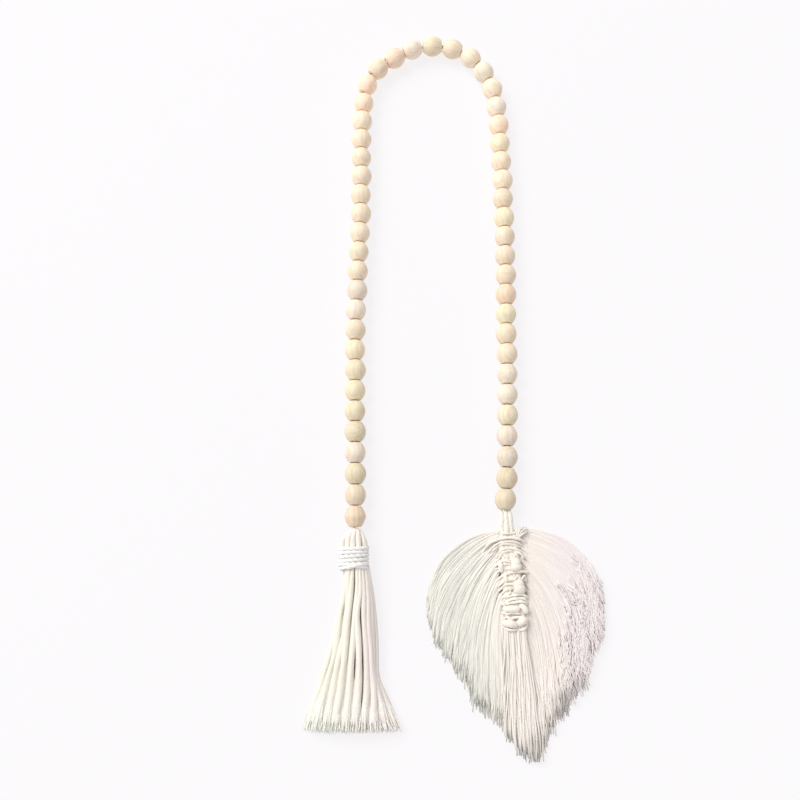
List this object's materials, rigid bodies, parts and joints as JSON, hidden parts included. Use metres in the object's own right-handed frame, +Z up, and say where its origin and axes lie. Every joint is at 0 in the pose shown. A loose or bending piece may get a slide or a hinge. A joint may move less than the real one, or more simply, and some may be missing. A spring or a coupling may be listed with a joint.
{
  "type": "bead garland with cord tassel and macrame leaf",
  "caption": "Wooden bead garland laid in a tall arch, with a bound cotton tassel on one end and a knotted, combed macrame leaf on the other.",
  "frame": {"origin": "middle of the garland's box, on the surface that it lies on", "axes": "+X from the tassel's leg towards the leaf's leg, +Y from the hanging ends towards the arch, +Z up off the surface"},
  "size_m": [0.2033, 0.5388, 0.0166],
  "materials": {
    "bead_wood": "bare turned pale wood, lightly sanded, satin",
    "string_cotton": "twisted natural cotton cord, matt",
    "tassel_cotton": "soft single-strand off-white cotton cord, matt, frayed at the cut ends",
    "binding_cotton": "off-white cotton cord wound in close turns, matt",
    "leaf_cotton": "off-white cotton, knotted along the middle and combed out to fine fringe, matt"
  },
  "bodies": {
    "root": {"bead_01": "bead_wood", "bead_02": "bead_wood", "bead_03": "bead_wood", "bead_04": "bead_wood", "bead_05": "bead_wood", "bead_06": "bead_wood", "bead_07": "bead_wood", "bead_08": "bead_wood", "bead_09": "bead_wood", "bead_10": "bead_wood", "bead_11": "bead_wood", "bead_12": "bead_wood", "bead_13": "bead_wood", "bead_14": "bead_wood", "bead_15": "bead_wood", "bead_16": "bead_wood", "bead_17": "bead_wood", "bead_18": "bead_wood", "bead_19": "bead_wood", "bead_20": "bead_wood", "bead_21": "bead_wood", "bead_22": "bead_wood", "bead_23": "bead_wood", "bead_24": "bead_wood", "bead_25": "bead_wood", "bead_26": "bead_wood", "bead_27": "bead_wood", "bead_28": "bead_wood", "bead_29": "bead_wood", "bead_30": "bead_wood", "bead_31": "bead_wood", "bead_32": "bead_wood", "bead_33": "bead_wood", "bead_34": "bead_wood", "bead_35": "bead_wood", "bead_36": "bead_wood", "bead_37": "bead_wood", "bead_38": "bead_wood", "bead_39": "bead_wood", "bead_40": "bead_wood", "bead_41": "bead_wood", "bead_42": "bead_wood", "bead_43": "bead_wood", "bead_44": "bead_wood", "bead_45": "bead_wood", "bead_46": "bead_wood", "bead_47": "bead_wood", "bead_48": "bead_wood", "bead_49": "bead_wood", "bead_50": "bead_wood", "bead_51": "bead_wood", "bead_52": "bead_wood", "string": "string_cotton", "tassel": "tassel_cotton", "tassel_wrap": "binding_cotton", "leaf": "leaf_cotton"}
  },
  "joints": []
}
